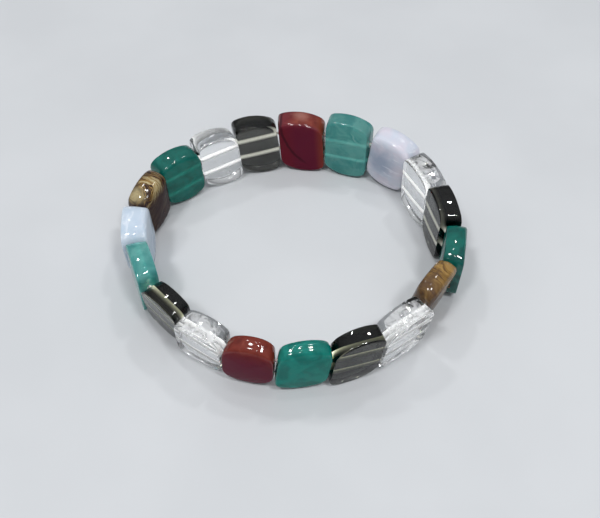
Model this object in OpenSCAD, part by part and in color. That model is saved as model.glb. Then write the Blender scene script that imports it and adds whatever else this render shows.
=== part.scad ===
// Chakra bracelet: nineteen flat tumbled stones side by side on two elastic threads.
// It lies on its side, as when it is put down on a table. Millimetres, the table is z = 0.

/* [Loop] */
// How far the elastic is stretched, where 1 is at rest
stretch = 1; // [1:0.01:1.2]
// Distance between the upper and the lower thread
thread_gap = 4.1; // [3:0.1:5]
// Diameter of each elastic thread
thread_d = 0.5; // [0.3:0.05:0.6]
// Diameter of the holes drilled through the stones
drill_d = 1.1; // [1:0.05:1.3]

/* [Stones] */
// Width of the rounded edge along a stone's top and foot
crisp_edge = 0.6; // [0.3:0.1:1]
// The same on the two white stones, which are softer
pillow_edge = 1.4; // [0.6:0.1:1.6]
// Width of the rounded edge at a stone's straight ends
end_edge = 0.3; // [0.2:0.1:0.8]
// How deep the four corners of a stone are worn
corner_wear = 0.3; // [0.1:0.05:0.4]
// Slope of the worn corners, measured from the line of the threads
corner_slope = 62; // [58:1:68]

/* [Hidden] */
// One row for each stone, clockwise from the far side, as they lie in the photograph.
// wide runs along the threads, tall is the height of the stone on edge, thick is from the wrist
// outwards. bow is the rise of the rounded top and foot, and skew slides the top back along the
// loop and the foot forward. clock and reach place the stone round the loop. swing turns it away
// from the round, roll lifts its leading end, lean tips its top outwards, and drill is the height
// of the middle of its two holes above its centre.
STONES = [
  // kind,        wide,  tall, thick, bow, skew, clock, reach, swing, roll, lean, drill
  ["carnelian",    9.55, 13.4,  5.2,  1.4,  1.2,   3.5, 29.5,   2,    4,    1,   -0.1],
  ["light_green",  9.3,  13.9,  4.6,  1.3,  0.9,  23.1, 30.1,  -6,    1,    5,   -0.9],
  ["white",        9.15, 13.0,  5.8,  1.4,  0.6,  42,   31.8,  -7,   -5,    2,   -0.6],
  ["clear",        9.55, 13.1,  5.0,  1.1,  0.8,  62.7, 30.5,   3.5,  2.5,  0,   -0.7],
  ["smoky",        8.85, 13.4,  4.5,  1.2,  1.0,  81.1, 30.3,  -2.5,  2.5,  1,   -1.0],
  ["green",        9.05, 12.7,  4.6,  1.4,  0.2,  99.4, 31.35, 1.5, -0.5,  2,   -0.4],
  ["tiger_eye",    9.6,  13.0,  4.7,  1.4,  0,   118.3, 29.2,   6,    4,   11.5,  0],
  ["clear",        9.7,  12.7,  4.7,  1.5,  1.2, 139.8, 29.8,   3,    3,    8,    0],
  ["smoky",        8.75, 13.0,  3.8,  1.4,  1.5, 158.5, 29.9,   2,    4.5,  5.5, -0.2],
  ["green",        9.05, 12.8,  3.9,  1.3,  0.6, 176.5, 29.85, -5,   5.5,  5,   -0.1],
  ["carnelian",    8.65, 12.5,  4.3,  1.6,  1.0, 195,   29.7,  -1.5,  4,    5.5, -0.1],
  ["clear",        9.2,  12.2,  4.7,  1.4,  1.2, 213.7, 29.1,  -1,    5,    7,   -0.1],
  ["smoky",        8.95, 12.2,  4.3,  1.5,  1.3, 232.8, 29.0,  -8,    6,    8,    0],
  ["light_green",  9.2,  12.4,  4.4,  1.4,  0.2, 252.7, 30.1,  -4,    0,    0.5, -0.2],
  ["white",        8.35, 12.6,  5.6,  1.4,  0,   271.4, 31.1,  -5,    8,    1,   -0.5],
  ["tiger_eye",    8.7,  12.8,  5.3,  1.3, -0.2, 289.2, 31.6,   3.5,  4,   -2,   -0.8],
  ["green",        9.2,  12.5,  5.1,  1.4,  0.4, 307.8, 31.2,  16,    4,    0.5, -1.1],
  ["clear",        9.0,  12.8,  5.4,  1.3,  1.4, 325.6, 29.9,   6.5,  4,    2.5, -0.2],
  ["smoky",        8.9,  13.2,  4.9,  1.3,  1.5, 343.9, 29.8,   1.5,  4.5,  3.5,  0.2],
];

// The colours that the photograph shows
TINTS = [
  ["carnelian", "#8c3a2a"], ["light_green", "#b9dccb"], ["white", "#e6e4ee"],
  ["clear", "#e8eef2"], ["smoky", "#4a443f"], ["green", "#4d8f7a"],
  ["tiger_eye", "#8a5a1f"], ["thread", "#d9d6cc"],
];

// Columns of STONES
KIND = 0; WIDE = 1; TALL = 2; THICK = 3; BOW = 4; SKEW = 5;
CLOCK = 6; REACH = 7; SWING = 8; ROLL = 9; LEAN = 10; DRILL = 11;

// Steps in a rounded edge, samples along a foot, sides of a thread
EDGE_STEPS = 3;
FOOT_SAMPLES = 24;
THREAD_SIDES = 8;
// How far cutters and blanks run past the stone, so that no two faces coincide
OVER = 1;
// Room left between a thread and the wall of its hole
THREAD_ROOM = 0.07;
$fn = 64;

function tint(kind) = [for (t = TINTS) if (t[0] == kind) t[1]][0];
function edge_of(s) = s[KIND] == "white" ? pillow_edge : crisp_edge;
function end_edge_of(s) = s[KIND] == "white" ? pillow_edge / 2 : end_edge;

// The bowed top and foot are arcs of a circle with this radius
function bow_radius(s) = (pow(s[WIDE] / 2, 2) + pow(s[BOW], 2)) / (2 * s[BOW]);
// Height of the bowed edge at x for an arc slid along by slide
function bow_height(s, x, slide) =
  let (r = bow_radius(s), reach = min(abs(x - slide), r))
  s[TALL] / 2 - r + sqrt(r * r - reach * reach);

// Direction of a stone along the loop, its turn, and a local point or vector in the world
function heading(s) = s[CLOCK] + s[SWING];
function turned(s, p) =
  let (
    leaned = [p.x, p.y * cos(s[LEAN]) + p.z * sin(s[LEAN]), p.z * cos(s[LEAN]) - p.y * sin(s[LEAN])],
    rolled = [leaned.x * cos(s[ROLL]) - leaned.z * sin(s[ROLL]), leaned.y,
              leaned.x * sin(s[ROLL]) + leaned.z * cos(s[ROLL])],
    a = heading(s)
  )
  [rolled.x * cos(a) + rolled.y * sin(a), rolled.y * cos(a) - rolled.x * sin(a), rolled.z];

// Lowest corner of the rounded foot, so that each stone stands on the table
function foot_depth(s) =
  let (half = s[WIDE] / 2 - corner_wear, e = edge_of(s))
  min([for (i = [0:FOOT_SAMPLES], side = [-1, 1], k = [0:EDGE_STEPS])
    let (
      x = half * (2 * i / FOOT_SAMPLES - 1),
      a = 90 * k / EDGE_STEPS,
      y = side * (s[THICK] / 2 - e + e * sin(a)),
      z = -bow_height(s, x, s[SKEW]) + e - e * cos(a)
    )
    turned(s, [x, y, z]).z]);

function centre_of(s) =
  [stretch * s[REACH] * sin(s[CLOCK]), stretch * s[REACH] * cos(s[CLOCK]), -foot_depth(s)];

// Half of a rounded edge as straight steps, from the rim (0 degrees) to the flat face (90 degrees)
function edge_steps(e) = [for (k = [0:EDGE_STEPS - 1]) let (a = 90 * k / EDGE_STEPS)
  [e * cos(a) - e, e * sin(a) - e]];

// Section of a blank whose edges are rounded: half width w, half thickness t. The last step runs
// on past the flat face, so that a blank crosses the face at a clear angle.
function blank_half(w, t, e) =
  let (last = edge_steps(e)[EDGE_STEPS - 1], past = OVER / (e + last.x))
  concat([for (p = edge_steps(e)) [w + p.x, t + p.y]], [[w - e - OVER, t - last.y * past]]);

// A disc standing on its rim across the stone, which gives the rounded top or foot
module coin(s, side) {
  r = bow_radius(s);
  half = blank_half(r, s[THICK] / 2, edge_of(s));
  inner_y = half[len(half) - 1].y;
  translate([side * -s[SKEW], 0, side * (s[TALL] / 2 - r)])
    rotate([90, 0, 0])
      rotate_extrude()
        polygon(concat([[0, -inner_y], [0, inner_y]], [for (i = [len(half) - 1:-1:0]) half[i]],
          [for (p = half) [p.x, -p.y]]));
}

// The straight ends and the flat faces towards the wrist and away from it
module end_slab(s) {
  w = s[WIDE] / 2;
  t = s[THICK] / 2;
  steps = concat(edge_steps(end_edge_of(s)), [[-end_edge_of(s), 0]]);
  count = len(steps);
  linear_extrude(s[TALL] + 2 * OVER, center = true)
    polygon(concat(
      [for (p = steps) [w + p.x, t + p.y]],
      [for (i = [count - 1:-1:0]) [-w - steps[i].x, t + steps[i].y]],
      [for (p = steps) [-w - p.x, -t - p.y]],
      [for (i = [count - 1:-1:0]) [w + steps[i].x, -t - steps[i].y]]));
}

// Four slanting planes that blunt the corners between the ends and the bows
module corner_guard(s) {
  w = s[WIDE] / 2;
  slope = tan(corner_slope);
  worn = corner_wear / cos(corner_slope);
  front_top = bow_height(s, w, -s[SKEW]) - worn;
  back_top = bow_height(s, -w, -s[SKEW]) - worn;
  front_foot = bow_height(s, w, s[SKEW]) - worn;
  back_foot = bow_height(s, -w, s[SKEW]) - worn;
  rotate([90, 0, 0])
    linear_extrude(s[THICK] + 2 * OVER, center = true)
      polygon([
        [w + (front_top + front_foot) / (2 * slope), (front_top - front_foot) / 2],
        [(front_top - back_top) / (2 * slope), w * slope + (front_top + back_top) / 2],
        [-w - (back_top + back_foot) / (2 * slope), (back_top - back_foot) / 2],
        [(front_foot - back_foot) / (2 * slope), -w * slope - (front_foot + back_foot) / 2],
      ]);
}

// One stone about its own centre: x along the loop, y away from the wrist, z up
module stone(s) {
  difference() {
    intersection() {
      end_slab(s);
      coin(s, 1);
      coin(s, -1);
      corner_guard(s);
    }
    for (side = [-1, 1])
      translate([0, 0, s[DRILL] + side * thread_gap / 2])
        rotate([0, 90, 0])
          cylinder(d = drill_d, h = s[WIDE] + 2 * OVER, center = true);
  }
}

module placed_stone(number) {
  s = STONES[number - 1];
  color(tint(s[KIND]))
    translate(centre_of(s))
      rotate([-s[LEAN], -s[ROLL], -heading(s)])
        stone(s);
}

// Middle of a hole's mouth, end is 1 where it leads on to the next stone, side is 1 for the upper
function mouth(number, end, side) =
  let (s = STONES[number])
  centre_of(s) + turned(s, [end * s[WIDE] / 2, 0, s[DRILL] + side * thread_gap / 2]);

// The taut thread leans in each mouth towards the neighbour's, and bends just outside the stone
function thread_bend(number, end, side) =
  let (
    neighbour = (number + end + len(STONES)) % len(STONES),
    here = mouth(number, end, side),
    ahead = end * turned(STONES[number], [1, 0, 0]),
    way = mouth(neighbour, -end, side) - here,
    sideways = way - (way * ahead) * ahead,
    slack = (drill_d - thread_d) / 2 - THREAD_ROOM
  )
  here + ahead * THREAD_ROOM * 3 + sideways * min(0.5, slack / norm(sideways));

// Points of a thread: where it enters and leaves each stone
function thread_points(side) =
  [for (number = [0:len(STONES) - 1], end = [-1, 1]) thread_bend(number, end, side)];

// A closed tube through the points, with each ring turned halfway between its two neighbours
module closed_tube(points, d) {
  count = len(points);
  rings = [for (i = [0:count - 1])
    let (
      before = points[i] - points[(i + count - 1) % count],
      after = points[(i + 1) % count] - points[i],
      along = before / norm(before) + after / norm(after),
      ahead = along / norm(along),
      across = cross(ahead, [0, 0, 1]) / norm(cross(ahead, [0, 0, 1])),
      up = cross(across, ahead)
    )
    for (k = [0:THREAD_SIDES - 1])
      let (a = 360 * k / THREAD_SIDES)
      points[i] + d / 2 * (across * cos(a) + up * sin(a))];
  faces = [for (i = [0:count - 1], k = [0:THREAD_SIDES - 1])
    let (
      here = i * THREAD_SIDES,
      next = ((i + 1) % count) * THREAD_SIDES,
      k2 = (k + 1) % THREAD_SIDES
    )
    for (face = [[here + k, here + k2, next + k2], [here + k, next + k2, next + k]]) face];
  polyhedron(rings, faces);
}

module thread_upper() { color(tint("thread")) closed_tube(thread_points(1), thread_d); }
module thread_lower() { color(tint("thread")) closed_tube(thread_points(-1), thread_d); }

module bead_01_carnelian() { placed_stone(1); }
module bead_02_light_green() { placed_stone(2); }
module bead_03_white() { placed_stone(3); }
module bead_04_clear_quartz() { placed_stone(4); }
module bead_05_smoky() { placed_stone(5); }
module bead_06_green() { placed_stone(6); }
module bead_07_tiger_eye() { placed_stone(7); }
module bead_08_clear_quartz() { placed_stone(8); }
module bead_09_smoky() { placed_stone(9); }
module bead_10_green() { placed_stone(10); }
module bead_11_carnelian() { placed_stone(11); }
module bead_12_clear_quartz() { placed_stone(12); }
module bead_13_smoky() { placed_stone(13); }
module bead_14_light_green() { placed_stone(14); }
module bead_15_white() { placed_stone(15); }
module bead_16_tiger_eye() { placed_stone(16); }
module bead_17_green() { placed_stone(17); }
module bead_18_clear_quartz() { placed_stone(18); }
module bead_19_smoky() { placed_stone(19); }

bead_01_carnelian();
bead_02_light_green();
bead_03_white();
bead_04_clear_quartz();
bead_05_smoky();
bead_06_green();
bead_07_tiger_eye();
bead_08_clear_quartz();
bead_09_smoky();
bead_10_green();
bead_11_carnelian();
bead_12_clear_quartz();
bead_13_smoky();
bead_14_light_green();
bead_15_white();
bead_16_tiger_eye();
bead_17_green();
bead_18_clear_quartz();
bead_19_smoky();
thread_upper();
thread_lower();
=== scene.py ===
"""Looks of the chakra bracelet: nineteen polished stones on two elastic threads.

Each stone is rebuilt as a smooth, drilled tablet from the solid that the frame holds, in that
stone's own axes: x along the threads, y away from the wrist, z up. Lengths in the script are in
millimetres until MM turns them into Blender's metres, and colours are linear.
"""

import math
from collections import namedtuple

import bmesh
import bpy
import numpy as np
from mathutils import Matrix, Vector, noise
from mathutils.geometry import convex_hull_2d


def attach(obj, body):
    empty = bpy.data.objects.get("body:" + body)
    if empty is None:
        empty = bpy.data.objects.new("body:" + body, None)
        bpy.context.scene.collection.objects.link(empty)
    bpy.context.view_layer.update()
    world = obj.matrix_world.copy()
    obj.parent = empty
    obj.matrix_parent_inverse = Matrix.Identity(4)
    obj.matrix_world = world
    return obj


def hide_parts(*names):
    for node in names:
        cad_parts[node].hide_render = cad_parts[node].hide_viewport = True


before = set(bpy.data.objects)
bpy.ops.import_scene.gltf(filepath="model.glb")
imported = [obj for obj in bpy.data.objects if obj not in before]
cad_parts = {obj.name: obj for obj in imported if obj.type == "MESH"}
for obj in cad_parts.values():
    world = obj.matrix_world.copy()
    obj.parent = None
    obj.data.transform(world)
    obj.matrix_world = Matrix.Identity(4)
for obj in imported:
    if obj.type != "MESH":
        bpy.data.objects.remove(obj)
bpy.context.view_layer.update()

MM = 0.001

# Camera, worked out from the photograph's perspective
VIEW_ELEVATION = 49.0       # degrees above the floor
VIEW_DISTANCE = 170.6       # from the point on the floor in the middle of the picture
VIEW_TARGET = (1.26, 0.44, 0.0)
FOCAL_PX = 827.3            # focal length in pixels of the 600 px wide picture
IMAGE_W = 600
SENSOR_W = 36.0
VIEW_NEAREST = 10.0         # what is closer to the camera isn't drawn

# Floor, lamps and sky
FLOOR_HALF = 2500.0         # half the side of the square floor
FLOOR_DROP = 0.1            # how far the floor lies below the stones' feet
PAPER_TONES = ((0.50, 0.515, 0.535), (0.53, 0.545, 0.565))
PAPER_CLOUDS = 40           # size of the clouds in the paper's tone
LAMP_DISTANCE = 900.0
LAMPS = {                   # direction from the bracelet, width in degrees, power in watts
    "lamp_front_left": ((-0.30, -0.36, 0.88), 8.5, 2.45),
    "lamp_front_right": ((0.30, -0.36, 0.88), 8.5, 2.45),
    "lamp_front": ((0.00, -0.47, 0.88), 4, 0.55),
    "lamp_top": ((0.04, 0.06, 1.00), 4, 0.45),
    "lamp_back_right": ((0.30, 0.42, 0.86), 5, 0.9),
    "lamp_back_left": ((-0.34, 0.42, 0.85), 5, 0.9),
}
SKY = [(0.0, (0.46, 0.47, 0.485)), (0.2, (0.15, 0.155, 0.16)),    # from the horizon up
       (0.5, (0.36, 0.37, 0.38)), (0.95, (0.55, 0.565, 0.58))]

# Reading a stone's solid
SLIVER = 1e-9               # twice the area of a triangle that is too small to face anywhere
SQUARE = 0.02               # greatest cosine between two faces that count as square to each other
SAME_WAY = 0.015            # directions that differ by less belong to one flat area
ON_THE_END = 1e-3           # points this close to a stone's end lie on it
RIM_SEARCH = 0.75           # a bore's rim lies this close to the middle of the thickness
RIM_BELOW_TOP = 2.5         # and at least this far from the top and the foot

# Stone tablets
OUTLINE_POINTS = 112
OUTLINE_FINE = 480          # samples while the outline is being smoothed
EDGE_STEPS = 7              # rings over a rounded edge
WALL_STEPS = 7              # rings across the thickness
FACE_RINGS = 9              # rings from the edge to the middle of a flat face
EDGE_TURN = 0.6             # how gently the rounded edge turns a corner, as a share of its width
TUMBLED = 0.06              # depth of the gentle unevenness left by tumbling
TUMBLE_SIZE = 4.5           # size of that unevenness
TUMBLE_STEP = (7.1, 3.3, 1.7)    # step from one stone's unevenness to the next one's
OTHER_RIDGES = 0.45         # rounding of the three other ridges, as a share of the uppermost one's
JOINT_SHARE = 0.82          # how much of the wedge between two stones their ends fill
LEANING = {(8, 9): 0.45}    # less in the joint of two stones that lean towards each other
FLARE_MOST = 0.85           # how far an end stands out at most, to fill its part of the wedge
END_CROWN = 0.03            # how far each end swells at half its height
END_DOME = 0.4              # crown of the ends across the thickness, as a share of the dome
BORE_SIDES = 28
OVERRUN = 1.0               # how far the drill runs past each end
MOUTH_ANGLE = 40.0          # degrees between faces that meet in a crisp edge, as at a hole's mouth

# How worn a stone is: the rounding of its ends' edges, of its uppermost ridge and of its corners,
# and how far its faces swell in their middle
Wear = namedtuple("Wear", "end_edge ridge_edge corner dome")
CRISP = Wear(0.20, 0.50, 0.32, 0.10)
WORN = Wear(0.28, 0.85, 0.45, 0.15)
SOFT = Wear(0.45, 1.30, 0.75, 0.25)
PEBBLE = Wear(0.55, 1.90, 1.00, 0.30)
PILLOW = Wear(0.85, 2.00, 0.70, 0.30)
BUTTON = Wear(1.30, 1.50, 0.75, 0.25)
WEAR = {1: WORN, 2: WORN, 3: PILLOW, 4: CRISP, 5: CRISP, 6: SOFT, 7: BUTTON, 8: CRISP, 9: CRISP,
        10: PEBBLE, 11: PEBBLE, 12: WORN, 13: CRISP, 14: WORN, 15: SOFT, 16: BUTTON, 17: SOFT,
        18: WORN, 19: WORN}

# Gloss, and the painted glow of a drilled hole's wall: emission that stands in for the light reaching it
QUARTZ_IOR = 1.544
GLOSS = 0.42                # reflection of the opaque stones, whose polish is softer than glass
SIDE_GLOSS = 0.04           # the same on their side faces
SIDE_FROM, SIDE_TO = 0.78, 0.98    # values of "side" between which the gloss falls
LIT_FROM = (-0.8, 0.6)      # a hole's wall glows most with painted light on this side: (away from the wrist, up)
LIT_FOCUS = 4               # the greater, the narrower the strip of the wall that glows with painted light
ON_THE_WALL = 1.1           # points within this many radii of a hole's axis are on its wall
ON_THE_AXIS = 1e-6          # points closer to the axis than this have no direction from it
GROUND_DIM = 0.8            # how dim the wall's darker specks are

# Healed cracks inside the clear stones
VEIL_STEPS = 14             # points along each side of a veil
VEIL_SPREAD = (0.28, 0.30, 0.38)    # how far out the middle of a veil may be, in shares of the stone
VEIL_TURNS = (0.9, 0.7)     # the most that a veil is turned about y and about x, in radians
VEIL_LENGTH = (0.22, 0.30)  # least and most of half a veil's length, as a share of the stone's width
VEIL_HEIGHT = (0.10, 0.16)  # the same of its height, as a share of the stone's height
VEIL_WAVE = 0.5             # how far a veil waves
VEIL_WAVE_LENGTH = 2.0
VEIL_CLEAR = 0.6            # least distance of a veil from the stone's surface
BORE_CLEAR = 0.15           # and from the wall of a hole
HAZE_DEPTH = 0.75           # how far below a stone's top its haze follows it
HAZE_CLEAR = 0.45           # least distance of that haze from the surface
HAZE_REACH = 0.56           # half the haze's size, as a share of the stone's, before it is clipped
PAINTED_VEIL_GLOW = 0.25             # painted glow of the cracks and the haze: emission that stands in for light they would scatter
VEIL_ROUGH = 0.4            # roughness of a veil
VEIL_STRETCH = (1, 1, 2.5)  # its wisps lie flat
WISP_EDGE = 0.22            # how softly they fade

# Patterns in the stones
CLOUD_STEP = (31, 17, 23)   # step from one seed's clouds to the next one's
SPOT_FADE = (1.3, 0.4)      # where a spot has faded and where it is full, as shares of its reach
SHEET_CORE = 0.2            # where a sheet is full, as a share of its width

# Polish
DULLER = (0.35, 0.7)        # values of the noise where duller patches begin and where they are full
PIT_SCALE = 0.9             # the greater, the closer the pits
PIT_RIM = (0.02, 0.09)      # bottom and rim of a pit, as values of the distance from its middle
PIT_DEPTH = 0.5             # as a share of the ripples' height
BUMP_STRENGTH = 0.35
RIPPLES = 0.012             # height of the ripples that polishing leaves on most stones

# Rock crystal and smoky quartz: the tint of the light that passes, and how strong it is per metre
CLEAR_TINT = (0.88, 0.95, 1.0)
CLEAR_DENSITY = 14
SMOKY_TINT = (0.355, 0.358, 0.330)
SMOKY_DENSITY = {5: 930, 9: 1200, 13: 1050, 19: 780}
SMOKY_SHINE = 0.85          # share of its reflection that smoky quartz keeps

# Carnelian
BRICK = [(0.3, (0.105, 0.012, 0.008)), (0.5, (0.150, 0.021, 0.013)), (0.7, (0.195, 0.036, 0.022))]
# Red of the side faces: painted shade and a painted bluish reflection
SHADED_CRIMSON = (0.104, 0.010, 0.026)
DARK_RED = (0.125, 0.010, 0.020)
ORANGE = (0.24, 0.050, 0.018)
BLUSH = (0.30, 0.120, 0.095)
VEIN_RED = (0.045, 0.006, 0.012)

# Green stones: two tones and that of a crack, the share of light that passes, its tint and density,
# and where the crack is: a part of a wide tube along y, and the reach round a point where it shows
Crack = namedtuple("Crack", "centre radius width middle reach")
GREEN_TONES = ((0.000, 0.170, 0.140), (0.005, 0.250, 0.205), (0.14, 0.45, 0.41))
DEEP_GREEN_TONES = ((0.000, 0.085, 0.075), (0.002, 0.150, 0.120), (0.05, 0.30, 0.26))
PALE_GREEN_TONES = ((0.07, 0.33, 0.32), (0.15, 0.45, 0.42), (0.36, 0.66, 0.62))
SEA_TINT = dict(tint=(0.03, 0.68, 0.58), density=600)
PALE_TINT = dict(tint=(0.40, 0.85, 0.78), density=420)
PALE_CRACK = Crack(centre=(9, 9), radius=9.0, width=0.3, middle=(2, -2.3, 3.5), reach=2.6)
MILKY = {
    2: dict(tones=PALE_GREEN_TONES, through=0.5, crack=PALE_CRACK, **PALE_TINT),
    6: dict(tones=DEEP_GREEN_TONES, through=0.25, **SEA_TINT,
            crack=Crack(centre=(1, -8), radius=12.5, width=0.35, middle=(0, 0, 5.5), reach=4.0)),
    10: dict(tones=GREEN_TONES, through=0.25, crack=None, **SEA_TINT),
    14: dict(tones=PALE_GREEN_TONES, through=0.35, crack=PALE_CRACK, **PALE_TINT),
    17: dict(tones=GREEN_TONES, through=0.5, **SEA_TINT,
             crack=Crack(centre=(-9, 8), radius=10.5, width=0.25, middle=(-2, 0, 5.5), reach=2.5)),
}

# White stones: two tones, a darker cloud and its middle, and the milky streaks of both; on 15 the
# cloud, low on the inner side, is painted shade, on 3 it is a grey cloud in the stone
CHALCEDONY = {
    3: dict(pale=(0.54, 0.58, 0.66), rosy=(0.60, 0.57, 0.64),
            cloud_and_shade=(0.23, 0.29, 0.40), cloud_and_shade_at=(-1.2, -3.2, 0.2)),
    15: dict(pale=(0.47, 0.56, 0.66), rosy=(0.53, 0.59, 0.67),
             cloud_and_shade=(0.38, 0.48, 0.62), cloud_and_shade_at=(0.0, -2.5, -2.0)),
}
MILK = (0.80, 0.82, 0.86)

# Tiger eye: its tones, how softly its bands blend, how strong the painted shade below its top is,
# and the middle of its bands, round which a painted sheen lies
TIGER_EYE = {
    7: dict(gold=(0.190, 0.104, 0.024), brown=(0.072, 0.038, 0.020), light=(0.30, 0.180, 0.055),
            spread=0.10, shade_below=0.4, eye=(-4.5, 1.0, 6.0)),
    16: dict(gold=(0.24, 0.140, 0.036), brown=(0.028, 0.012, 0.008), light=(0.42, 0.35, 0.19),
             spread=0.07, shade_below=0.9, eye=(-3.6, 0.6, 6.0)),
}
# Colour of the painted shade below the top, where the fibres' sheen is missing
FIBRE_SHADE = (0.030, 0.014, 0.018)
RING_BEND = 4.5             # how far its rings are bent
BEND_SCALE = 0.22           # the greater, the closer the bends
RING_STEP = (1.0, 0.4, 0.2)    # the way through the noise from one ring to the next
RING_DRIFT = (0.12, 0.12, 0.12)    # how slowly a ring changes along itself
BAND_NOISE = (1.1, 2.0, 0.7)    # scale, detail and roughness of its bands
FIBRE_NOISE = (4.5, 4.0, 0.6)    # and of its fibres
BAND_SHARE, FIBRE_SHARE = 0.55, 0.45    # how the two are mixed

# Elastic threads
ELASTIC_TONES = ((0.70, 0.69, 0.64), (0.85, 0.84, 0.80))
ELASTIC_CLOUDS = 0.4        # size of the clouds in their tone


def convex_outline(points):
    """Convex outline of 2-D points, counter-clockwise, as an array."""
    order = convex_hull_2d([Vector(p) for p in points])
    hull = np.array([points[i] for i in order])
    area = np.sum(hull[:, 0] * np.roll(hull[:, 1], -1) - np.roll(hull[:, 0], -1) * hull[:, 1])
    return hull if area > 0 else hull[::-1]


def resample(loop, count):
    """The closed loop with count points, evenly spaced along it."""
    closed = np.vstack([loop, loop[:1]])
    run = np.concatenate([[0], np.cumsum(np.linalg.norm(np.diff(closed, axis=0), axis=1))])
    at = np.linspace(0, run[-1], count, endpoint=False)
    return np.stack([np.interp(at, run, closed[:, k]) for k in range(2)], axis=1)


def soften(loop, size):
    """The closed loop with its corners rounded by a running average of about that size."""
    step = np.linalg.norm(np.diff(loop, axis=0), axis=1).mean()
    away = np.arange(len(loop))
    away = np.minimum(away, len(loop) - away) * step
    weight = np.exp(-0.5 * (away / size) ** 2)
    weight /= weight.sum()
    spectrum = np.fft.fft(weight)
    return np.stack([np.fft.ifft(np.fft.fft(loop[:, k]) * spectrum).real for k in range(2)], axis=1)


def outward(loop):
    """Unit normals of a counter-clockwise closed loop."""
    along = np.roll(loop, -1, axis=0) - np.roll(loop, 1, axis=0)
    normal = np.stack([along[:, 1], -along[:, 0]], axis=1)
    return normal / np.linalg.norm(normal, axis=1)[:, None]


class Tablet:
    """A stone of the frame in its own axes: its place, its sizes, its outline and its holes."""

    def __init__(self, node):
        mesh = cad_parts[node].data
        points = np.array([v.co for v in mesh.vertices]) / MM
        mesh.calc_loop_triangles()
        corners = points[np.array([t.vertices for t in mesh.loop_triangles])]
        cross = np.cross(corners[:, 1] - corners[:, 0], corners[:, 2] - corners[:, 0])
        area = np.linalg.norm(cross, axis=1)
        cross, area = cross[area > SLIVER], area[area > SLIVER]
        normal = cross / area[:, None]
        middle = (points.max(0) + points.min(0)) / 2
        out = self.widest_facing(normal, area, np.array([middle[0], middle[1], 0.0]))
        level = np.abs(normal @ out) < SQUARE
        clockwise = np.array([middle[1], -middle[0], 0.0])
        along = self.widest_facing(normal[level], area[level], clockwise)
        along -= out * (along @ out)
        along /= np.linalg.norm(along)
        axes = np.stack([along, out, np.cross(along, out)], axis=1)
        local = (points - middle) @ axes
        shift = (local.max(0) + local.min(0)) / 2
        local -= shift
        self.node = node
        self.number = int(node.split("_")[1])
        self.kind = node.split("_", 2)[2]
        self.middle = middle + axes @ shift
        self.axes = axes
        self.wide, self.thick, self.tall = self.size = local.max(0) - local.min(0)
        self.outline = convex_outline(local[:, [0, 2]])
        self.bores = self.find_bores(local)

    @staticmethod
    def widest_facing(normal, area, towards):
        """Direction that the largest flat area faces, taken on the side of towards."""
        folded = normal * np.where(normal @ towards >= 0, 1, -1)[:, None]
        names, where = np.unique(np.round(folded, 2), axis=0, return_inverse=True)
        total = np.bincount(where.ravel(), weights=area)
        alike = np.linalg.norm(folded - names[total.argmax()], axis=1) < SAME_WAY
        best = (folded[alike] * area[alike, None]).sum(0)
        return best / np.linalg.norm(best)

    def find_bores(self, local):
        """The upper and the lower hole, each as its axis's y and z and its radius."""
        rim = local[(np.abs(local[:, 0]) > self.wide / 2 - ON_THE_END)
                    & (np.abs(local[:, 1]) < RIM_SEARCH)
                    & (np.abs(local[:, 2]) < self.tall / 2 - RIM_BELOW_TOP)]
        split = rim[:, 2].mean()
        bores = []
        for ring in (rim[rim[:, 2] > split], rim[rim[:, 2] < split]):
            centre = (ring.max(0) + ring.min(0)) / 2
            bores.append((centre[1], centre[2], (ring[:, 2].max() - ring[:, 2].min()) / 2))
        return bores

    def uppermost_side(self):
        """The side whose upper ridge was turned to the camera: 1 is away from the wrist."""
        return 1 if self.middle[1] < 0 else -1

    def matrix(self):
        """Places a mesh made in the stone's own axes."""
        place = Matrix(self.axes.tolist()).to_4x4()
        place.translation = Vector(self.middle * MM)
        return place


def flare_towards(tablet, neighbour):
    """How far an end stands out on the side away from the wrist, to follow the joint there."""
    turn = math.acos(min(1, float(tablet.axes[:, 0] @ neighbour.axes[:, 0])))
    share = LEANING.get(tuple(sorted((tablet.number, neighbour.number))), JOINT_SHARE)
    return min(FLARE_MOST, share * tablet.thick * math.tan(turn / 2))


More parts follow.
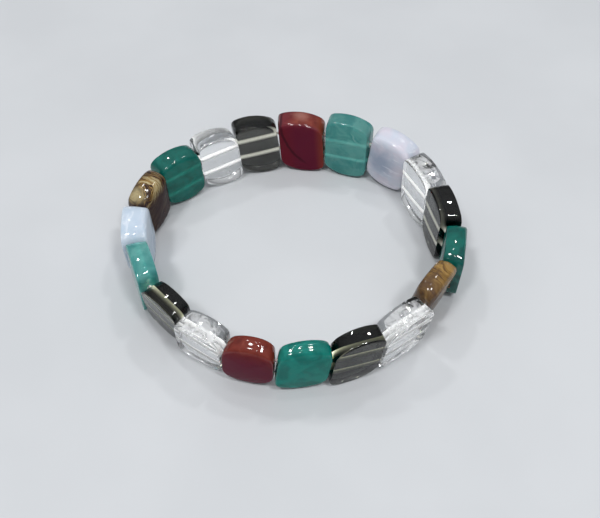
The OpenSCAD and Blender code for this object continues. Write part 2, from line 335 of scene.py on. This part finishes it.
def tablet_rings(tablet, wear, flares):
    """Rings of points over a tablet, from the middle of one side face to that of the other."""
    loop = resample(soften(resample(tablet.outline, OUTLINE_FINE), wear.corner), OUTLINE_POINTS)
    loop *= (1 - 2 * END_DOME * wear.dome / tablet.wide, 1 - 2 * wear.dome / tablet.tall)
    level = 1 - (2 * loop[:, 1] / tablet.tall) ** 2
    loop[:, 0] *= 1 + 2 * END_CROWN / tablet.wide * level
    inward = -outward(soften(loop, EDGE_TURN * wear.ridge_edge))
    middle = loop.mean(0)
    half = tablet.thick / 2
    upper = tablet.uppermost_side()

    def edge_at(side):
        ridge = np.where((inward[:, 1] < 0) & (side == upper), 1, OTHER_RIDGES) * wear.ridge_edge
        return wear.end_edge + (np.maximum(ridge, wear.end_edge) - wear.end_edge) * inward[:, 1] ** 2

    def ring(flat, y):
        flare = np.where(flat[:, 0] > 0, flares[1], flares[0]) * 2 / tablet.wide
        wider = flat[:, 0] * (1 + flare * (0.5 + 0.5 * y / half))
        return np.column_stack([wider, y * np.ones(len(flat)), flat[:, 1]])

    sides = []
    for side in (-1, 1):
        edge = edge_at(side)
        inset = loop + inward * edge[:, None]
        face = [ring(middle + (inset - middle) * share, side * (half - wear.dome * share ** 2))
                for share in np.arange(1, FACE_RINGS) / FACE_RINGS]
        turn = [ring(inset - inward * (edge * math.sin(a))[:, None],
                     side * (half - wear.dome - (edge - wear.dome) * (1 - math.cos(a))))
                for a in np.linspace(0, math.pi / 2, EDGE_STEPS)]
        sides.append(face + turn)
    low, high = edge_at(-1) - half, half - edge_at(1)
    crown = inward * 4 * wear.dome * (END_DOME, 1)
    wall = [ring(loop - crown * share * (1 - share), low + (high - low) * share)
            for share in np.linspace(0, 1, WALL_STEPS)[1:-1]]
    poles = [(middle[0], side * half, middle[1]) for side in (-1, 1)]
    return sides[0] + wall + sides[1][::-1], poles


def tablet_mesh(tablet, wear, flares):
    """A closed, smooth tablet with rounded edges and the gentle unevenness of tumbling."""
    rings, ends = tablet_rings(tablet, wear, flares)
    mesh = bmesh.new()
    rows = [[mesh.verts.new(p * MM) for p in ring] for ring in rings]
    poles = [mesh.verts.new(Vector(end) * MM) for end in ends]
    count = len(rows[0])
    for low, high in zip(rows, rows[1:]):
        for k in range(count):
            mesh.faces.new((low[k], low[(k + 1) % count], high[(k + 1) % count], high[k]))
    for pole, row in zip(poles, (rows[0], rows[-1])):
        for k in range(count):
            mesh.faces.new((pole, row[k], row[(k + 1) % count]))
    bmesh.ops.recalc_face_normals(mesh, faces=mesh.faces)
    mesh.normal_update()
    start = Vector([tablet.number * step for step in TUMBLE_STEP])
    for v in mesh.verts:
        wave = noise.noise(v.co / (TUMBLE_SIZE * MM) + start)
        v.co -= v.normal * (0.5 + 0.5 * wave) * TUMBLED * MM
    data = bpy.data.meshes.new("tablet")
    mesh.to_mesh(data)
    mesh.free()
    return data


def add_object(name, data):
    """A new object in the scene."""
    made = bpy.data.objects.new(name, data)
    bpy.context.scene.collection.objects.link(made)
    return made


def bore_cutter(tablet, material):
    """The two drilled holes as one cutter, whose walls carry the frosted material."""
    mesh = bmesh.new()
    turn = Matrix.Rotation(math.pi / 2, 4, "Y")
    for y, z, radius in tablet.bores:
        bmesh.ops.create_cone(mesh, cap_ends=True, segments=BORE_SIDES, radius1=radius * MM,
                              radius2=radius * MM, depth=(tablet.wide + 2 * OVERRUN) * MM,
                              matrix=Matrix.Translation(Vector((0, y, z)) * MM) @ turn)
    data = bpy.data.meshes.new("bores")
    mesh.to_mesh(data)
    mesh.free()
    data.materials.append(material)
    return add_object("bores", data)


def make_stone(tablet, name, flares, body_material, bore_material):
    """The stone as a piece that stands for its CAD node."""
    data = tablet_mesh(tablet, WEAR[tablet.number], flares)
    data.materials.append(body_material)
    piece = add_object(name, data)
    cutter = bore_cutter(tablet, bore_material)
    drill = piece.modifiers.new("drill", "BOOLEAN")
    drill.operation = "DIFFERENCE"
    drill.solver = "EXACT"
    drill.material_mode = "TRANSFER"
    drill.object = cutter
    bpy.context.view_layer.update()
    evaluated = piece.evaluated_get(bpy.context.evaluated_depsgraph_get())
    drilled = bpy.data.meshes.new_from_object(evaluated)
    piece.modifiers.clear()
    piece.data = drilled
    drilled.name = name
    bpy.data.objects.remove(cutter)
    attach(piece, "root")
    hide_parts(tablet.node)
    return piece


def set_in_place(piece, tablet):
    """Moves the finished mesh to its place in the bracelet, and keeps its own coordinates.

    The value "side" is 1 on the two broad side faces. A second value is the painted glow of a drilled
    hole's wall: emission that stands in for light from above and from the side of the wrist.
    """
    data = piece.data
    points = np.array([v.co for v in data.vertices]) / MM
    side = data.attributes.new("side", "FLOAT", "POINT")
    side.data.foreach_set("value", [abs(n.vector.y) for n in data.vertex_normals])
    own = data.attributes.new("own", "FLOAT_VECTOR", "POINT")
    own.data.foreach_set("vector", points.ravel())
    # Painted glow of the holes' walls, brightest where they face up and towards the wrist, as if lit from
    # there
    painted_glow = np.zeros(len(points))
    for y, z, radius in tablet.bores:
        beside = points[:, 1:] - (y, z)
        away = np.linalg.norm(beside, axis=1)
        facing = beside @ LIT_FROM / np.maximum(away, ON_THE_AXIS)
        painted_glow = np.where(away < ON_THE_WALL * radius, (0.5 + 0.5 * facing) ** LIT_FOCUS, painted_glow)
    data.attributes.new("painted_glow", "FLOAT", "POINT").data.foreach_set("value", painted_glow)
    data.transform(tablet.matrix())
    data.shade_smooth()
    data.set_sharp_from_angle(angle=math.radians(MOUTH_ANGLE))


def add_veils(piece, tablet, count, material, haze):
    """Wispy healed cracks inside a clear stone, as thin curved sheets of its own mesh.

    Where haze is a material, one more sheet of it follows the top of the stone from below. All the
    sheets glow with painted light, which on the haze brightens the stone's top.
    """
    data = piece.data
    slot = len(data.materials)
    data.materials.append(material)
    mesh = bmesh.new()
    mesh.from_mesh(data)
    rng = np.random.default_rng(tablet.number)
    steps = np.linspace(-1, 1, VEIL_STEPS)
    disc = [(u * math.sqrt(1 - v * v / 2), v * math.sqrt(1 - u * u / 2)) for u in steps for v in steps]
    rim = resample(tablet.outline, OUTLINE_POINTS)
    normals = outward(rim)

    def well_inside(p, clear):
        """True for a place that far from the stone's surface and clear of its holes."""
        depth = ((np.array((p.x, p.z)) - rim) * normals).sum(1).max()
        return (depth < -clear and abs(p.y) < tablet.thick / 2 - clear
                and all(math.hypot(p.y - y, p.z - z) > radius + BORE_CLEAR
                        for y, z, radius in tablet.bores))

    def add_sheet(points, clear, index):
        grid = [mesh.verts.new(p * MM) if well_inside(p, clear) else None for p in points]
        for i in range(VEIL_STEPS - 1):
            for j in range(VEIL_STEPS - 1):
                at = i * VEIL_STEPS + j
                four = [grid[k] for k in (at, at + 1, at + VEIL_STEPS + 1, at + VEIL_STEPS)]
                if all(four):
                    mesh.faces.new(four).material_index = index

    for _ in range(count):
        middle = Vector(rng.uniform(-1, 1, 3) * (VEIL_SPREAD * tablet.size))
        turn = (Matrix.Rotation(rng.uniform(-VEIL_TURNS[0], VEIL_TURNS[0]), 3, "Y")
                @ Matrix.Rotation(rng.uniform(-VEIL_TURNS[1], VEIL_TURNS[1]), 3, "X"))
        reach = (rng.uniform(*VEIL_LENGTH) * tablet.wide, rng.uniform(*VEIL_HEIGHT) * tablet.tall)
        points = []
        for u, v in disc:
            flat = Vector((u * reach[0], 0, v * reach[1]))
            wave = noise.noise(flat / VEIL_WAVE_LENGTH + Vector((tablet.number, 0, 0)))
            flat.y = VEIL_WAVE * wave
            points.append(turn @ flat + middle)
        add_sheet(points, VEIL_CLEAR, slot)
    if haze:
        data.materials.append(haze)
        top = rim[rim[:, 1] > 0]
        top = top[top[:, 0].argsort()]
        places = [(HAZE_REACH * u * tablet.wide, -HAZE_REACH * v * tablet.thick) for u, v in disc]
        add_sheet([Vector((x, y, np.interp(x, top[:, 0], top[:, 1]) - HAZE_DEPTH)) for x, y in places],
                  HAZE_CLEAR, slot + 1)
    bmesh.ops.delete(mesh, geom=[v for v in mesh.verts if not v.link_faces], context="VERTS")
    mesh.to_mesh(data)
    mesh.free()


def shader(name, **values):
    """A new material with its principled shader: values are its sockets' constants by name."""
    material = bpy.data.materials.new(name)
    material.use_nodes = True
    tree = material.node_tree
    main = tree.nodes["Principled BSDF"]
    main.inputs["IOR"].default_value = QUARTZ_IOR
    for key, value in values.items():
        main.inputs[key.replace("_", " ")].default_value = value
    return material, tree, main


def feed(tree, socket, value):
    """Links the socket to another one, or sets its constant."""
    if isinstance(value, bpy.types.NodeSocket):
        tree.links.new(value, socket)
    else:
        socket.default_value = value


def node_of(tree, kind, inputs=None, **values):
    """A node of that kind: values are its properties or, by name, its sockets' constants.

    inputs says what feeds a socket, by its name or its number: another socket or a constant.
    """
    made = tree.nodes.new(kind)
    for key, value in values.items():
        if hasattr(made, key):
            setattr(made, key, value)
        else:
            made.inputs[key.replace("_", " ")].default_value = value
    for key, value in (inputs or {}).items():
        feed(tree, made.inputs[key], value)
    return made


def maths(tree, operation, first, second=0.0):
    """One step of arithmetic on two values, each a socket or a number."""
    return node_of(tree, "ShaderNodeMath", {0: first, 1: second}, operation=operation).outputs[0]


def own_place(tree):
    """Place in the stone's own axes, in millimetres from its middle."""
    return node_of(tree, "ShaderNodeAttribute", attribute_name="own").outputs["Vector"]


def own_axes(tree):
    """The same place as three values, named X, Y and Z."""
    return node_of(tree, "ShaderNodeSeparateXYZ", {"Vector": own_place(tree)}).outputs


def ramp(tree, source, stops):
    """Colours along a value, as (place, colour) stops."""
    made = node_of(tree, "ShaderNodeValToRGB", {"Fac": source})
    bar = made.color_ramp
    bar.interpolation = "EASE"
    while len(bar.elements) < len(stops):
        bar.elements.new(0.5)
    for element, (place, colour) in zip(bar.elements, stops):
        element.position = place
        element.color = (*colour, 1)
    return made.outputs["Color"]


def cloud(tree, size, detail, distortion=0.0, seed=0.0, stretch=(1, 1, 1)):
    """Noise whose clouds are about size millimetres across."""
    place = node_of(tree, "ShaderNodeMapping", {"Vector": own_place(tree)}, Scale=stretch,
                    Location=[seed * step for step in CLOUD_STEP])
    return node_of(tree, "ShaderNodeTexNoise", {"Vector": place.outputs["Vector"]},
                   Scale=1 / size, Detail=detail, Distortion=distortion).outputs["Fac"]


def between(tree, value, low, high):
    """0 below low and 1 above high, or the other way round where low is the greater."""
    return node_of(tree, "ShaderNodeMapRange", {"Value": value}, interpolation_type="SMOOTHSTEP",
                   From_Min=low, From_Max=high).outputs["Result"]


def near(tree, centre, reach, wobble=0.6):
    """1 at a point of the stone, fading to 0 at that reach, with an uneven rim."""
    away = node_of(tree, "ShaderNodeVectorMath", {0: own_place(tree), 1: centre}, operation="DISTANCE")
    uneven = cloud(tree, size=1.5, detail=4, distortion=0.5)
    uneven = maths(tree, "MULTIPLY", uneven, wobble * reach)
    return between(tree, maths(tree, "ADD", away.outputs["Value"], uneven),
                   SPOT_FADE[0] * reach, SPOT_FADE[1] * reach)


def sheet(tree, centre, radius, width, wobble):
    """1 on a curved sheet across the stone, part of a wide tube round an axis along y."""
    flat = node_of(tree, "ShaderNodeVectorMath", {0: own_place(tree), 1: (1, 0, 1)}, operation="MULTIPLY")
    away = node_of(tree, "ShaderNodeVectorMath", {0: flat.outputs["Vector"], 1: (centre[0], 0, centre[1])},
                   operation="DISTANCE")
    uneven = maths(tree, "SUBTRACT", cloud(tree, size=2.0, detail=4), 0.5)
    uneven = maths(tree, "MULTIPLY", uneven, 2 * wobble)
    off = maths(tree, "ADD", maths(tree, "SUBTRACT", away.outputs["Value"], radius), uneven)
    return between(tree, maths(tree, "ABSOLUTE", off), width, SHEET_CORE * width)


def blend(tree, factor, under, over, strength=1.0):
    """The colour over laid on under where the factor says, at that strength."""
    if strength < 1:
        factor = maths(tree, "MULTIPLY", factor, strength)
    made = node_of(tree, "ShaderNodeMix", {0: factor}, data_type="RGBA")
    for socket, colour in ((made.inputs[6], under), (made.inputs[7], over)):
        feed(tree, socket, (*colour, 1) if isinstance(colour, tuple) else colour)
    return made.outputs[2]


def polish(tree, main, smooth, worn, seed, wave=RIPPLES):
    """Polished gloss with duller patches, hair-fine unevenness and a few tiny pits."""
    patches = cloud(tree, size=1.8, detail=5, distortion=0.5, seed=seed)
    rough = node_of(tree, "ShaderNodeMapRange", {"Value": patches}, From_Min=DULLER[0],
                    From_Max=DULLER[1], To_Min=smooth, To_Max=worn)
    tree.links.new(rough.outputs["Result"], main.inputs["Roughness"])
    place = node_of(tree, "ShaderNodeVectorMath", {0: own_place(tree), 1: (seed, seed, seed)},
                    operation="ADD")
    spots = node_of(tree, "ShaderNodeTexVoronoi", {"Vector": place.outputs["Vector"]},
                    Scale=PIT_SCALE)
    pits = maths(tree, "MULTIPLY", between(tree, spots.outputs["Distance"], *PIT_RIM), PIT_DEPTH)
    ripple = cloud(tree, size=1.1, detail=4, distortion=0.2, seed=seed + 5)
    height = maths(tree, "ADD", ripple, pits)
    bump = node_of(tree, "ShaderNodeBump", {"Height": height}, Strength=BUMP_STRENGTH,
                   Distance=wave * MM)
    tree.links.new(bump.outputs["Normal"], main.inputs["Normal"])


def satin(tree, main):
    """Opaque stones shine on their thickness and ridges, and less on the side faces."""
    side = node_of(tree, "ShaderNodeAttribute", attribute_name="side").outputs["Fac"]
    gloss = node_of(tree, "ShaderNodeMapRange", {"Value": side}, interpolation_type="SMOOTHSTEP",
                    From_Min=SIDE_FROM, From_Max=SIDE_TO, To_Min=GLOSS, To_Max=SIDE_GLOSS)
    tree.links.new(gloss.outputs["Result"], main.inputs["Specular IOR Level"])


def absorb(tree, tint, density):
    """Light that passes through the stone takes its colour."""
    node = node_of(tree, "ShaderNodeVolumeAbsorption", Color=(*tint, 1), Density=density)
    tree.links.new(node.outputs["Volume"], tree.nodes["Material Output"].inputs["Volume"])


def glow_within(main, amount, reach, radius=(1, 1, 1)):
    """Light scatters below the surface, reach millimetres deep."""
    main.inputs["Subsurface Weight"].default_value = amount
    main.inputs["Subsurface Radius"].default_value = radius
    main.inputs["Subsurface Scale"].default_value = reach * MM


def clear_stone(name, seed, tint, density, shine=1.0):
    """Transparent stone: rock crystal when it is hardly tinted, smoky quartz when it is dark."""
    material, tree, main = shader(name, Specular_Tint=(shine, shine, shine, 1),
                                  Base_Color=(1, 1, 1, 1), Transmission_Weight=1.0)
    polish(tree, main, smooth=0.0, worn=0.03, seed=seed, wave=0.022)
    absorb(tree, tint, density)
    return material


def veil_stone(name, seed, strength, start, size, detail):
    """A healed crack: see-through but for its frosty wisps, which are wider where start is lower and glow
    with painted light.
    """
    material, tree, main = shader(name, Base_Color=(0.95, 0.96, 0.98, 1), Roughness=VEIL_ROUGH,
                                  Emission_Color=(1, 1, 1, 1), Emission_Strength=PAINTED_VEIL_GLOW)
    wisps = cloud(tree, size, detail, distortion=1.2, seed=seed, stretch=VEIL_STRETCH)
    ragged = between(tree, wisps, start, start + WISP_EDGE)
    tree.links.new(maths(tree, "MULTIPLY", ragged, strength), main.inputs["Alpha"])
    return material


def milky_stone(name, seed, tones, through, tint, density, crack):
    """Translucent stone: part of the light passes through, the rest comes back from within."""
    material, tree, main = shader(name, Transmission_Weight=through)
    clouds = cloud(tree, size=3.2, detail=5, distortion=0.8, seed=seed)
    tone = ramp(tree, clouds, [(0.36, tones[0]), (0.64, tones[1])])
    if crack:
        whole = sheet(tree, crack.centre, crack.radius, crack.width, wobble=0.8)
        shown = maths(tree, "MULTIPLY", whole, near(tree, crack.middle, crack.reach))
        tone = blend(tree, shown, tone, tones[2], strength=0.5)
    tree.links.new(tone, main.inputs["Base Color"])
    glow_within(main, amount=0.6, reach=1.2)
    satin(tree, main)
    polish(tree, main, smooth=0.01, worn=0.07, seed=seed)
    absorb(tree, tint, density)
    return material


def carnelian_stone(name, seed, veined):
    """Brick-red agate, with a darker, purpler crimson painted on its side faces as shade and a bluish
    reflection.
    """
    material, tree, main = shader(name)
    brick = ramp(tree, cloud(tree, size=2.6, detail=5, distortion=0.9, seed=seed), BRICK)
    own = own_axes(tree)
    # Painted shade and bluish reflection: crimson on the side faces, reaching further up low on the stone
    lean = maths(tree, "MULTIPLY", own["Z"], 0.12)
    rim = maths(tree, "SUBTRACT", maths(tree, "ABSOLUTE", own["Y"]), lean)
    tone = blend(tree, between(tree, rim, 0.6, 2.0), brick, SHADED_CRIMSON)
    if veined:
        # One end darker, the other orange, a blush on the top and a dark vein across
        tone = blend(tree, between(tree, own["X"], -0.5, -3.5), tone, DARK_RED, strength=0.75)
        tone = blend(tree, between(tree, own["X"], 2.6, 4.8), tone, ORANGE, strength=0.5)
        spot = near(tree, centre=(0.0, 0.9, 6.5), reach=2.6)
        tone = blend(tree, spot, tone, BLUSH, strength=0.8)
        vein = sheet(tree, centre=(10.7, 7.0), radius=15.0, width=0.45, wobble=0.3)
        vein = maths(tree, "MULTIPLY", vein, between(tree, own["Z"], -5.5, -2.5))
        tone = blend(tree, vein, tone, VEIN_RED, strength=0.8)
    tree.links.new(tone, main.inputs["Base Color"])
    glow_within(main, amount=0.25, reach=0.8, radius=(1, 0.35, 0.25))
    satin(tree, main)
    polish(tree, main, smooth=0.02, worn=0.10, seed=seed)
    return material


def chalcedony_stone(name, seed, pale, rosy, cloud_and_shade, cloud_and_shade_at):
    """Milky white stone with a darker cloud and a faint blush; on stone 15 the cloud is painted shade."""
    material, tree, main = shader(name)
    clouds = cloud(tree, size=4.0, detail=4, distortion=0.7, seed=seed)
    tone = ramp(tree, clouds, [(0.35, pale), (0.7, rosy)])
    # A darker cloud: on stone 15 painted shade low on its inner side, on stone 3 a grey cloud in the stone
    tone = blend(tree, near(tree, cloud_and_shade_at, reach=5.0, wobble=0.5), tone, cloud_and_shade, strength=0.7)
    streaks = cloud(tree, size=1.6, detail=5, distortion=0.6, seed=seed + 2, stretch=(0.35, 1, 2.2))
    tone = blend(tree, between(tree, streaks, 0.55, 0.75), tone, MILK, strength=0.6)
    tree.links.new(tone, main.inputs["Base Color"])
    glow_within(main, amount=0.7, reach=1.6)
    satin(tree, main)
    polish(tree, main, smooth=0.01, worn=0.06, seed=seed)
    return material


def fibre_bands(tree, seed, eye):
    """Fine fibres, and wide bands mixed with them, in bent rings round an eye."""
    away = node_of(tree, "ShaderNodeVectorMath", {0: own_place(tree), 1: eye}, operation="DISTANCE")
    bend = node_of(tree, "ShaderNodeTexNoise", {"Vector": own_place(tree)}, Scale=BEND_SCALE,
                   Detail=3.0)
    bend = maths(tree, "MULTIPLY", bend.outputs["Fac"], RING_BEND)
    ring = maths(tree, "ADD", away.outputs["Value"], bend)
    slow = node_of(tree, "ShaderNodeMapping", {"Vector": own_place(tree)}, Scale=RING_DRIFT,
                   Location=(seed, seed, seed))
    place = node_of(tree, "ShaderNodeVectorMath",
                    {0: ring, 1: RING_STEP, 2: slow.outputs["Vector"]}, operation="MULTIPLY_ADD")
    bands, fibres = [node_of(tree, "ShaderNodeTexNoise", {"Vector": place.outputs["Vector"]},
                             Scale=scale, Detail=detail, Roughness=rough).outputs["Fac"]
                     for scale, detail, rough in (BAND_NOISE, FIBRE_NOISE)]
    mixed = maths(tree, "ADD", maths(tree, "MULTIPLY", bands, BAND_SHARE),
                  maths(tree, "MULTIPLY", fibres, FIBRE_SHARE))
    return fibres, mixed


def tiger_stone(name, seed, gold, brown, light, spread, shade_below, eye):
    """Gold and brown bands round an eye, with a painted sheen at the eye and painted shade below the top.
    """
    material, tree, main = shader(name)
    fibres, mixed = fibre_bands(tree, seed, eye)
    tone = ramp(tree, mixed, [(0.5 - spread, brown), (0.5, gold), (0.5 + spread, light)])
    patches = cloud(tree, size=4.0, detail=3, distortion=0.5, seed=seed)
    tone = blend(tree, between(tree, patches, 0.48, 0.66), tone, brown, strength=0.7)
    # Painted sheen: a pale patch round the eye stands in for the shine of the fibres
    tone = blend(tree, near(tree, eye, reach=3.0), tone, light, strength=0.75)
    own = own_axes(tree)
    tone = blend(tree, between(tree, own["X"], 0.0, 3.6), tone, brown, strength=0.6)
    # Painted shade below the bright top, whose lower edge the fibres make ragged
    streak = maths(tree, "ADD", own["Z"], maths(tree, "MULTIPLY", fibres, 3.0))
    tone = blend(tree, between(tree, streak, 6.8, 4.2), tone, FIBRE_SHADE, shade_below)
    tree.links.new(tone, main.inputs["Base Color"])
    satin(tree, main)
    polish(tree, main, smooth=0.05, worn=0.16, seed=seed, wave=0.02)
    return material


def bore_stone(name, colour, painted_glow_strength):
    """Wall of a drilled hole: ground, not polished, and glowing with painted light, so it looks pale
    through the stone.
    """
    material, tree, main = shader(name, Roughness=0.7, Specular_IOR_Level=0.2,
                                  Emission_Color=(*colour, 1))
    dim = tuple(GROUND_DIM * c for c in colour)
    grain = cloud(tree, size=0.5, detail=4, distortion=0.2, seed=1)
    tree.links.new(ramp(tree, grain, [(0.3, dim), (0.7, colour)]), main.inputs["Base Color"])
    # Painted glow: the wall emits its own colour, as strongly as the mask and the given strength say
    painted_glow = node_of(tree, "ShaderNodeAttribute", attribute_name="painted_glow").outputs["Fac"]
    tree.links.new(maths(tree, "MULTIPLY", painted_glow, painted_glow_strength), main.inputs["Emission Strength"])
    return material


def body_stone(tablet, name):
    """The material of a stone's body."""
    number = tablet.number
    if tablet.kind == "clear_quartz":
        return clear_stone(name, number, CLEAR_TINT, CLEAR_DENSITY)
    if tablet.kind == "smoky":
        return clear_stone(name, number, SMOKY_TINT, SMOKY_DENSITY[number], SMOKY_SHINE)
    if tablet.kind == "carnelian":
        return carnelian_stone(name, number, veined=number == 1)
    if tablet.kind == "white":
        return chalcedony_stone(name, number, **CHALCEDONY[number])
    if tablet.kind == "tiger_eye":
        return tiger_stone(name, number, **TIGER_EYE[number])
    return milky_stone(name, number, **MILKY[number])


def make_stones():
    """All the stones, each made towards its two neighbours."""
    # Walls of the holes; all but the brown one glow with painted light, at the strength given last
    white = bore_stone("glowing_ground_white", (0.95, 0.95, 0.94), painted_glow_strength=0.62)
    cream = bore_stone("glowing_ground_cream", (0.60, 0.605, 0.555), painted_glow_strength=2.3)
    olive = bore_stone("glowing_ground_olive", (0.62, 0.63, 0.47), painted_glow_strength=5.0)
    pale = bore_stone("glowing_ground_pale", (0.80, 0.92, 0.88), painted_glow_strength=0.45)
    green = bore_stone("glowing_ground_green", (0.60, 0.90, 0.80), painted_glow_strength=0.45)
    brown = bore_stone("ground_brown", (0.45, 0.28, 0.20), painted_glow_strength=0.0)
    bores = {"clear_quartz": white, "white": white, "smoky": cream, "light_green": pale,
             "green": brown, "carnelian": brown, "tiger_eye": brown}
    other_bores = {9: olive, 13: olive, 17: green}
    faint = veil_stone("glowing_healed_crack", seed=3, strength=0.4, start=0.52, size=1.4, detail=6)
    strong = veil_stone("glowing_cloudy_crack", seed=5, strength=0.75, start=0.52, size=1.4, detail=6)
    haze = veil_stone("glowing_milky_haze", seed=7, strength=0.55, start=0.36, size=2.8, detail=3)
    # How many cracks a clear stone has, of which kind, and its haze; all of them glow with painted light
    veils = {4: (8, strong, haze), 8: (11, strong, haze), 12: (7, strong, haze), 18: (5, faint, None)}
    nodes = [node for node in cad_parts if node.startswith("bead_")]
    tablets = {tablet.number: tablet for tablet in map(Tablet, nodes)}
    for number, tablet in sorted(tablets.items()):
        name = tablet.node.replace("bead", "stone")
        flares = [flare_towards(tablet, tablets[(number - 1 + side) % len(tablets) + 1])
                  for side in (-1, 1)]
        bore = other_bores.get(number, bores[tablet.kind])
        piece = make_stone(tablet, name, flares, body_stone(tablet, name), bore)
        if number in veils:
            add_veils(piece, tablet, *veils[number])
        set_in_place(piece, tablet)


def mottle(tree, main, size, dark, light):
    """A base colour that wanders between two, in clouds about size millimetres across."""
    place = node_of(tree, "ShaderNodeTexCoord").outputs["Object"]
    clouds = node_of(tree, "ShaderNodeTexNoise", {"Vector": place}, Scale=1 / (size * MM), Detail=3.0)
    tree.links.new(ramp(tree, clouds.outputs["Fac"], [(0.3, dark), (0.7, light)]),
                   main.inputs["Base Color"])


def dress_threads():
    """The threads keep their CAD shape, and get a milky elastic."""
    elastic, tree, main = shader("elastic_cord", Roughness=0.45, Subsurface_Weight=0.4,
                                 Subsurface_Scale=0.3 * MM)
    mottle(tree, main, ELASTIC_CLOUDS, *ELASTIC_TONES)
    for node in ("thread_upper", "thread_lower"):
        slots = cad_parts[node].data.materials
        slots.clear()
        slots.append(elastic)


def lay_floor():
    """A plain floor of pale paper."""
    half = FLOOR_HALF * MM
    corners = [(-half, -half), (half, -half), (half, half), (-half, half)]
    data = bpy.data.meshes.new("floor")
    data.from_pydata([(x, y, -FLOOR_DROP * MM) for x, y in corners], [], [(0, 1, 2, 3)])
    paper, tree, main = shader("pale_paper", Roughness=0.7)
    mottle(tree, main, PAPER_CLOUDS, *PAPER_TONES)
    data.materials.append(paper)
    floor = add_object("floor", data)


def aim(thing, place, target):
    """Puts a lamp or a camera in its place, turned to the target."""
    thing.location = place
    thing.rotation_euler = (target - thing.location).to_track_quat("-Z", "Y").to_euler()


def hang_lamps():
    """Round lamps, whose width in degrees is as seen from the bracelet."""
    for name, (direction, spread, power) in LAMPS.items():
        data = bpy.data.lights.new(name, "AREA")
        data.shape = "DISK"
        data.size = 2 * LAMP_DISTANCE * math.tan(math.radians(spread / 2)) * MM
        data.energy = power
        aim(add_object(name, data), Vector(direction).normalized() * LAMP_DISTANCE * MM,
            Vector((0, 0, 0)))


def light_sky():
    """A soft grey studio, paler overhead."""
    world = bpy.data.worlds.new("studio")
    bpy.context.scene.world = world
    world.use_nodes = True
    sky = world.node_tree
    around = node_of(sky, "ShaderNodeTexCoord").outputs["Generated"]
    height = node_of(sky, "ShaderNodeSeparateXYZ", {"Vector": around}).outputs["Z"]
    background = sky.nodes["Background"].inputs
    sky.links.new(ramp(sky, height, SKY), background["Color"])
    background["Strength"].default_value = 1.0
    bpy.context.scene.view_settings.view_transform = "Standard"


def place_camera():
    """The photograph's viewing angle."""
    data = bpy.data.cameras.new("photo_camera")
    data.sensor_width = SENSOR_W
    data.lens = FOCAL_PX * SENSOR_W / IMAGE_W
    data.clip_start = VIEW_NEAREST * MM
    camera = add_object("photo_camera", data)
    rise = math.radians(VIEW_ELEVATION)
    target = Vector(VIEW_TARGET) * MM
    back = Vector((0, -math.cos(rise), math.sin(rise)))
    aim(camera, target + back * VIEW_DISTANCE * MM, target)
    bpy.context.scene.camera = camera


make_stones()
dress_threads()
lay_floor()
hang_lamps()
light_sky()
place_camera()

bpy.context.view_layer.update()
